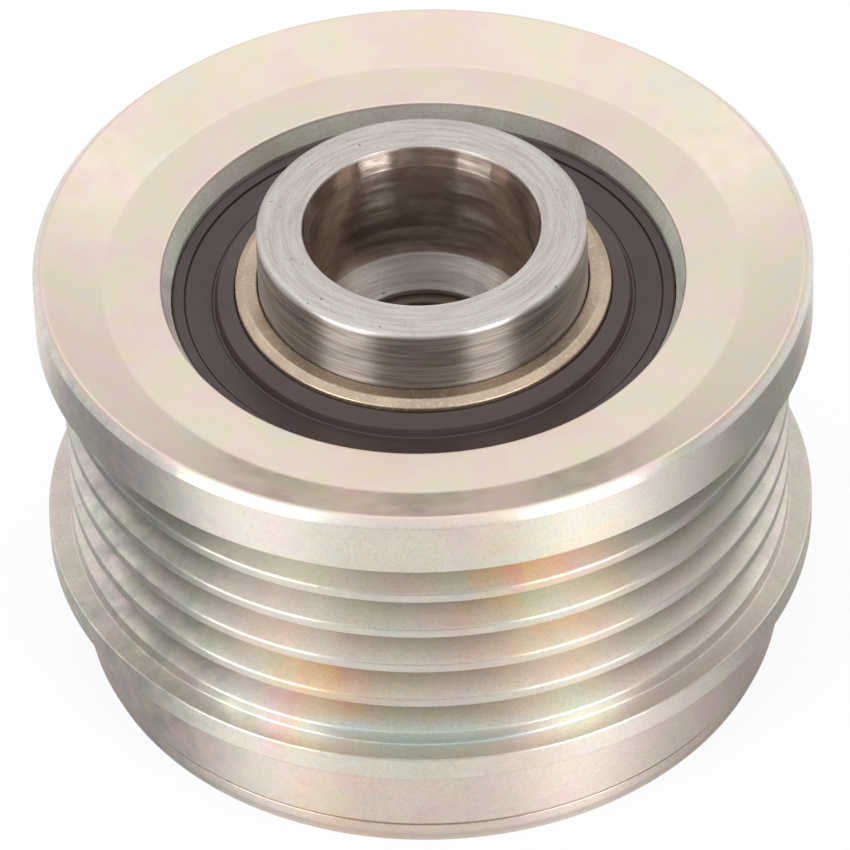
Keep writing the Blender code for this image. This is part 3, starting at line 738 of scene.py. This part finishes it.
class PULLEY_OT_turn_hub(bpy.types.Operator):
    """Turn the hub sleeve, cut its internal thread and broach its tool socket"""

    bl_idname = "pulley.turn_hub"
    bl_label = "Turn Hub"

    steps_per_tooth = 12
    rows_per_thread = 12
    inner_ring_wall = 1.75 * MM         # with the gap to the hub
    mouth_widening = 0.45 * MM
    bore_floor_drop = 1.7 * MM          # of the conical floor
    socket_radius = 7.8 * MM
    socket_depth = 12.6 * MM
    tooth_height = 0.8 * MM
    thread_depth = 0.42                 # as a share of its pitch

    def execute(self, context):
        s = context.scene.pulley_hub
        low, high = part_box("hub_sleeve")
        collar = high.x
        hub = reach("rear_inner_ring") - self.inner_ring_wall
        bore = s.bore / 2
        entry = bore + self.mouth_widening
        thread = s.thread / 2
        bore_floor = high.z - s.bore_depth
        thread_top = bore_floor - self.bore_floor_drop
        socket = self.socket_radius
        socket_floor = low.z + self.socket_depth
        collar_top = floor_of("front_inner_ring") - SEAT_GAP
        corners = [
            (collar, low.z, 0.4 * MM), (collar, collar_top, SLIM_EDGE),
            (hub, collar_top, SLIM_EDGE), (hub, high.z, s.edge), (entry, high.z, SLIM_EDGE),
            (bore, high.z - s.mouth_taper, SLIM_EDGE),
            (bore, bore_floor, 0.15 * MM), (thread, thread_top, 0.12 * MM),
        ]
        profile = rounded(corners)
        thread_rows = np.arange(thread_top - 0.2 * MM, socket_floor + 0.1 * MM,
                                -s.thread_pitch / self.rows_per_thread)
        middle = np.stack([np.full_like(thread_rows, thread), thread_rows], 1)
        end = rounded([(thread, socket_floor + 2 * MM, 0), (thread, socket_floor, 0.03 * MM),
                       (socket, socket_floor, 0.05 * MM), (socket, low.z, 0.25 * MM),
                       (collar, low.z, 0)])
        per_corner = len(end) // 5
        profile = np.concatenate([profile, middle, end[per_corner:4 * per_corner]])
        depth = self.thread_depth * s.thread_pitch

        def offset(u, z, r):
            """Thread: a triangle wave of height and turn. Socket: a triangle wave of the turn."""
            wave = np.abs(((z / s.thread_pitch - u / (2 * pi)) % 1.0) * 2 - 1)
            inside = np.clip((thread_top - 0.3 * MM - z) / (0.8 * MM), 0, 1)
            inside = inside * np.clip((z - socket_floor - 0.05 * MM) / (0.5 * MM), 0, 1)
            in_thread = (r < thread + 0.001 * MM) * inside * depth * wave
            splines = np.abs(((u * s.socket_teeth / (2 * pi)) % 1.0) * 2 - 1)
            in_socket = (np.abs(r - socket) < 0.3 * MM) * (z < socket_floor + 0.05 * MM)
            return in_thread + in_socket * self.tooth_height * splines

        around = s.socket_teeth * self.steps_per_tooth
        mesh = grid_mesh("turned_hub", turned_points(profile, around, offset))
        add_piece(mesh, turned_steel(s), "hub", ["hub_sleeve"])
        return {"FINISHED"}


class PULLEY_OT_mould_seals(bpy.types.Operator):
    """Mould the stepped seal at each end"""

    bl_idname = "pulley.mould_seals"
    bl_label = "Mould Seals"

    around = 192

    def execute(self, context):
        s = context.scene.pulley_bearings
        material = seal_rubber(tuple(s.seal_colour))
        for place, side in (("rear", 1), ("front", -1)):
            node = place + "_seal"
            edge = top_of(node) if side > 0 else floor_of(node)
            foot = edge - side * s.seal_lip_rise
            back = top_of(node) - floor_of(node) - s.seal_lip_rise
            lip = reach(place + "_inner_ring") + 0.06 * MM
            rim = reach(node) + 0.22 * MM
            steps = [
                (lip, -0.5, 0.08), (lip + 1.27 * MM, 0.03, 0.12),
                (lip + 1.52 * MM, 0.64, 0.06), (lip + 1.66 * MM, 0.68, 0.04),
                (lip + 1.74 * MM, 0.60, 0.05), (rim - 1.02 * MM, 0.42, 0.05),
                (rim - 0.96 * MM, 0.58, 0.04), (rim - 0.88 * MM, 0.30, 0.06),
                (rim - 0.15 * MM, 0.27, 0.08), (rim, 0.40, 0.08),
                (rim, back / MM, 0.1), (lip, back / MM, 0.1),
            ]
            corners = [(r, foot - side * d * MM, f * MM) for r, d, f in steps]
            add_turned(node + "_moulding", corners, self.around, material, "pulley", node)
        return {"FINISHED"}


class PULLEY_OT_grind_bearings(bpy.types.Operator):
    """Grind the bearing rings and fit balls and cages"""

    bl_idname = "pulley.grind_bearings"
    bl_label = "Grind Bearings"

    around = 160
    ball_around = 36
    inner_ring_wall = 1.68 * MM

    def groove(self, land, path, middle, radius):
        """Arc of the ball groove where it is cut into a land, as corners with no fillet."""
        half = np.arccos(abs(path - land) / radius)
        sign = -1 if land < path else 1
        angles = np.linspace(-half, half, 13)
        return [(path + sign * radius * cos(a), middle + radius * sin(a), 0.005 * MM)
                for a in angles]

    def execute(self, context):
        s = context.scene.pulley_bearings
        tan_steel = ring_steel("tan_ring_steel", tuple(s.ring_colour), 0.36, 0.55)
        race_steel = ring_steel("ground_ring_steel", (0.60, 0.58, 0.56), 0.26, 0.1)
        nylon = cage_nylon(tuple(s.cage_colour))
        ball_steel = polished_steel("polished_ball_steel", 0.06)
        ball = s.ball / 2
        for place in ("rear", "front"):
            inner, outer = place + "_inner_ring", place + "_outer_ring"
            bottom, top = floor_of(outer), top_of(outer)
            middle = (bottom + top) / 2
            land = reach(inner)
            path = land - RACE_GROOVE_DEPTH + ROLLING_GAP + ball
            ring_bore = land - self.inner_ring_wall
            low, high = floor_of(inner), top_of(inner)
            shoulder, fall = 0.62 * MM, 0.4 * MM
            corners = [(ring_bore, low, 0.12 * MM), (land - shoulder, low, 0.3 * MM),
                       (land, low + fall, 0.2 * MM)]
            corners += self.groove(land, path, middle, ball + ROLLING_GAP)
            corners += [(land, high - fall, 0.2 * MM), (land - shoulder, high, 0.3 * MM),
                        (ring_bore, high, 0.12 * MM)]
            add_turned(place + "_ground_inner_ring", corners, self.around, tan_steel, "hub",
                       inner)

            rim = reach(outer)
            outer_land = 2 * path - land
            corners = [(rim, bottom, 0.25 * MM), (rim, top, 0.25 * MM), (outer_land, top, 0.1 * MM)]
            corners += self.groove(outer_land, path, middle, ball + ROLLING_GAP)[::-1]
            corners += [(outer_land, bottom, 0.1 * MM)]
            add_turned(place + "_ground_outer_ring", corners, self.around, race_steel, "pulley",
                       outer)

            finish_node(place + "_ball_cage", nylon)
            angles = np.linspace(-pi / 2, pi / 2, 19)[1:-1]
            sphere = np.stack([ball * np.cos(angles), ball * np.sin(angles)], 1)
            for i in range(s.ball_count):
                mesh = round_body(f"{place}_polished_ball_{i + 1:02d}", sphere, self.ball_around)
                set_in_ring(mesh, i, s.ball_count, path, middle)
                add_piece(mesh, ball_steel, place + "_cage", [f"{place}_ball_{i + 1:02d}"])
        return {"FINISHED"}


class PULLEY_OT_fit_clutch(bpy.types.Operator):
    """Finish the one-way clutch: race, cam, cage, rollers and springs"""

    bl_idname = "pulley.fit_clutch"
    bl_label = "Fit Clutch"

    around = 160
    roller_around = 40

    def execute(self, context):
        s = context.scene.pulley_clutch
        ground = ring_steel("ground_race_steel", (0.58, 0.57, 0.56), 0.2, 0.05)
        rim = reach("clutch_race")
        bore = rim - RACE_WALL
        bottom, top = floor_of("clutch_race"), top_of("clutch_race")
        corners = [(rim, bottom, 0.2 * MM), (rim, top, 0.2 * MM),
                   (bore, top, 0.1 * MM), (bore, bottom, 0.1 * MM)]
        add_turned("ground_clutch_race", corners, self.around, ground, "pulley", "clutch_race")
        finish_node("clutch_cam_ring", ring_steel("cam_steel", (0.55, 0.53, 0.51), 0.3, 0.1))
        cage_colour = tuple(context.scene.pulley_bearings.cage_colour)
        finish_node("clutch_cage", cage_nylon(cage_colour))
        roller_steel = polished_steel("ground_roller_steel", 0.12)
        strip_steel = polished_steel("spring_strip_steel", 0.2)
        radius = s.roller / 2
        path = bore - ROLLING_GAP - radius
        edge, bulge = 0.2 * MM, 0.06 * MM
        for i in range(s.roller_count):
            node = f"clutch_roller_{i + 1:02d}"
            low, high = floor_of(node), top_of(node)
            profile = np.array([(0.2 * radius, low), (radius - edge, low),
                                (radius - bulge, low + bulge), (radius, low + edge),
                                (radius, high - edge), (radius - bulge, high - bulge),
                                (radius - edge, high), (0.2 * radius, high)])
            mesh = round_body(f"ground_{node}", profile, self.roller_around)
            set_in_ring(mesh, i, s.roller_count, path)
            add_piece(mesh, roller_steel, "hub", [node])
            finish_node(f"clutch_spring_{i + 1:02d}", strip_steel)
        return {"FINISHED"}


class PULLEY_OT_set_stage(bpy.types.Operator):
    """Set the floor, the soft lights, the surroundings and the camera"""

    bl_idname = "pulley.set_stage"
    bl_label = "Set Stage"

    floor_side = 4.0
    paper_skew = -0.08                  # turn of the painted shade on the paper, which follows y
    paper_reach = 50 * MM               # the painted shade runs over this much of y on each side
    near_edge = (40 * MM, 52 * MM)      # where the near paper turns into the far paper
    # Painted shade on the paper, as (place, grey) stops near the part and far from it.
    near_shade_greys = ((0.2, 0.90), (0.36, 0.42), (0.86, 0.90))
    far_shade_greys = ((0.06, 0.85), (0.28, 0.22), (0.72, 0.22), (0.84, 0.95))
    camera_paper = (0.95, 0.95, 0.95)
    camera_glow = 0.85

    def floor_paper(self):
        """Paper that the camera sees white, with painted shade that reflections see beside the
        part.
        """
        shader = Shader("white_floor")
        split = shader.add("ShaderNodeSeparateXYZ")
        shader.plug(split.inputs[0], shader.place)
        x, y = split.outputs[0], split.outputs[1]
        skewed = shader.math("MULTIPLY_ADD", x, self.paper_skew, y)
        share = shader.spread(skewed, -self.paper_reach, self.paper_reach)
        near, far = (shader.ramp(share, [(place, (grey, grey, grey)) for place, grey in greys])
                     for greys in (self.near_shade_greys, self.far_shade_greys))
        length = shader.add("ShaderNodeVectorMath", operation="LENGTH")
        shader.plug(length.inputs[0], shader.place)
        paper = shader.mix(shader.spread(length.outputs["Value"], *self.near_edge), near, far)
        by_camera = shader.add("ShaderNodeLightPath").outputs["Is Camera Ray"]
        paper = shader.mix(by_camera, paper, self.camera_paper)
        blend = shader.add("ShaderNodeMixShader")
        shader.plug(blend.inputs[0], shader.times(by_camera, self.camera_glow))
        shader.plug(blend.inputs[1], shader.surface.outputs[0])
        shader.plug(blend.inputs[2], shader.add("ShaderNodeEmission").outputs[0])
        shader.plug(shader.nodes["Material Output"].inputs[0], blend.outputs[0])
        return shader.finish(Base_Color=paper, Roughness=0.9, Specular_IOR_Level=0.0)

    def floor(self):
        """Pale floor under the part."""
        side = self.floor_side
        verts = [(-side, -side, 0), (side, -side, 0), (side, side, 0), (-side, side, 0)]
        mesh = bpy.data.meshes.new("studio_floor")
        mesh.from_pydata(verts, [], [(0, 1, 2, 3)])
        floor = bpy.data.objects.new("studio_floor", mesh)
        bpy.context.scene.collection.objects.link(floor)
        mesh.materials.append(self.floor_paper())

    def lamp(self, name, azimuth, elevation, distance, size, brightness):
        """Rectangular soft light aimed at the part, by its direction in degrees from the camera.

        A sheet of area A that looks as bright as white paper (1) gives pi * A watts.
        """
        data = bpy.data.lights.new(name, "AREA")
        data.shape = "RECTANGLE"
        data.size, data.size_y = size
        data.energy = brightness * pi * size[0] * size[1]
        lamp = bpy.data.objects.new(name, data)
        bpy.context.scene.collection.objects.link(lamp)
        a, e = radians(azimuth), radians(elevation)
        away = Vector((sin(a) * cos(e), -cos(a) * cos(e), sin(e)))
        lamp.location = away * distance + Vector((0, 0, top_of("pulley_shell") / 2))
        lamp.rotation_euler = away.to_track_quat("Z", "Y").to_euler()

    def surroundings(self, strength):
        world = bpy.context.scene.world or bpy.data.worlds.new("World")
        bpy.context.scene.world = world
        world.use_nodes = True
        nodes, links = world.node_tree.nodes, world.node_tree.links
        nodes.clear()
        studio = nodes.new("ShaderNodeBackground")
        studio.inputs[0].default_value = (1.0, 0.985, 0.96, 1)
        studio.inputs[1].default_value = strength
        white = nodes.new("ShaderNodeBackground")
        rays = nodes.new("ShaderNodeLightPath")
        blend = nodes.new("ShaderNodeMixShader")
        out = nodes.new("ShaderNodeOutputWorld")
        links.new(rays.outputs["Is Camera Ray"], blend.inputs[0])
        links.new(studio.outputs[0], blend.inputs[1])
        links.new(white.outputs[0], blend.inputs[2])
        links.new(blend.outputs[0], out.inputs[0])

    def camera(self, s):
        """Camera at the photo's angle: it looks along the tilted axis, then rolls about it."""
        e, roll = s.elevation, s.roll
        ahead = Vector((0, cos(e), -sin(e)))
        flat_right = Vector((1, 0, 0))
        flat_up = Vector((0, sin(e), cos(e)))
        right = cos(roll) * flat_right + sin(roll) * flat_up
        up = -sin(roll) * flat_right + cos(roll) * flat_up
        middle = Vector((0, 0, top_of("pulley_shell")))
        place = middle - s.distance * ahead + s.shift_right * right - s.shift_down * up
        data = bpy.data.cameras.new("photo_camera")
        data.sensor_width = 36.0
        data.lens = s.focal * data.sensor_width / PHOTO_SIDE
        data.clip_start, data.clip_end = 0.01, 20.0
        camera = bpy.data.objects.new("photo_camera", data)
        bpy.context.scene.collection.objects.link(camera)
        camera.matrix_world = Matrix.Translation(place) @ Matrix(
            (right, up, -ahead)).transposed().to_4x4()
        bpy.context.scene.camera = camera

    def execute(self, context):
        s = context.scene.pulley_stage
        self.floor()
        self.surroundings(s.world)
        self.lamp("ceiling_sheet", 0, 81, 0.8, (1.7, 1.7), s.ceiling)
        self.lamp("back_sheet", 180, 32, 1.2, (3.0, 1.2), s.back)
        self.lamp("left_sheet", -108, 24, 1.2, (1.1, 0.9), s.sides)
        self.lamp("right_sheet", 108, 24, 1.2, (1.1, 0.9), s.sides)
        self.lamp("left_softbox", -50, 18, 0.9, (0.50, 0.36), s.left)
        self.lamp("right_softbox", 40, 18, 0.9, (0.40, 0.36), s.right)
        context.scene.view_settings.view_transform = "Standard"
        self.camera(s)
        return {"FINISHED"}


class PULLEY_PT_panel(bpy.types.Panel):
    """Lists the pieces in the 3D view's sidebar"""

    bl_label = "Alternator Pulley"
    bl_space_type = "VIEW_3D"
    bl_region_type = "UI"
    bl_category = "Pulley"

    def draw(self, context):
        for piece in PIECES:
            self.layout.operator(piece.bl_idname)


SETTINGS = {
    "pulley_shell": ShellSettings,
    "pulley_hub": HubSettings,
    "pulley_bearings": BearingSettings,
    "pulley_clutch": ClutchSettings,
    "pulley_stage": StageSettings,
}
PIECES = (PULLEY_OT_turn_shell, PULLEY_OT_turn_hub, PULLEY_OT_mould_seals,
          PULLEY_OT_grind_bearings, PULLEY_OT_fit_clutch, PULLEY_OT_set_stage)


def register():
    for name, group in SETTINGS.items():
        bpy.utils.register_class(group)
        setattr(bpy.types.Scene, name, PointerProperty(type=group))
    for piece in (*PIECES, PULLEY_PT_panel):
        bpy.utils.register_class(piece)


def unregister():
    for piece in reversed((*PIECES, PULLEY_PT_panel)):
        bpy.utils.unregister_class(piece)
    for name, group in SETTINGS.items():
        delattr(bpy.types.Scene, name)
        bpy.utils.unregister_class(group)


def main():
    register()
    bpy.ops.pulley.turn_shell()
    bpy.ops.pulley.turn_hub()
    bpy.ops.pulley.mould_seals()
    bpy.ops.pulley.grind_bearings()
    bpy.ops.pulley.fit_clutch()
    bpy.ops.pulley.set_stage()


if __name__ == "__main__":
    main()
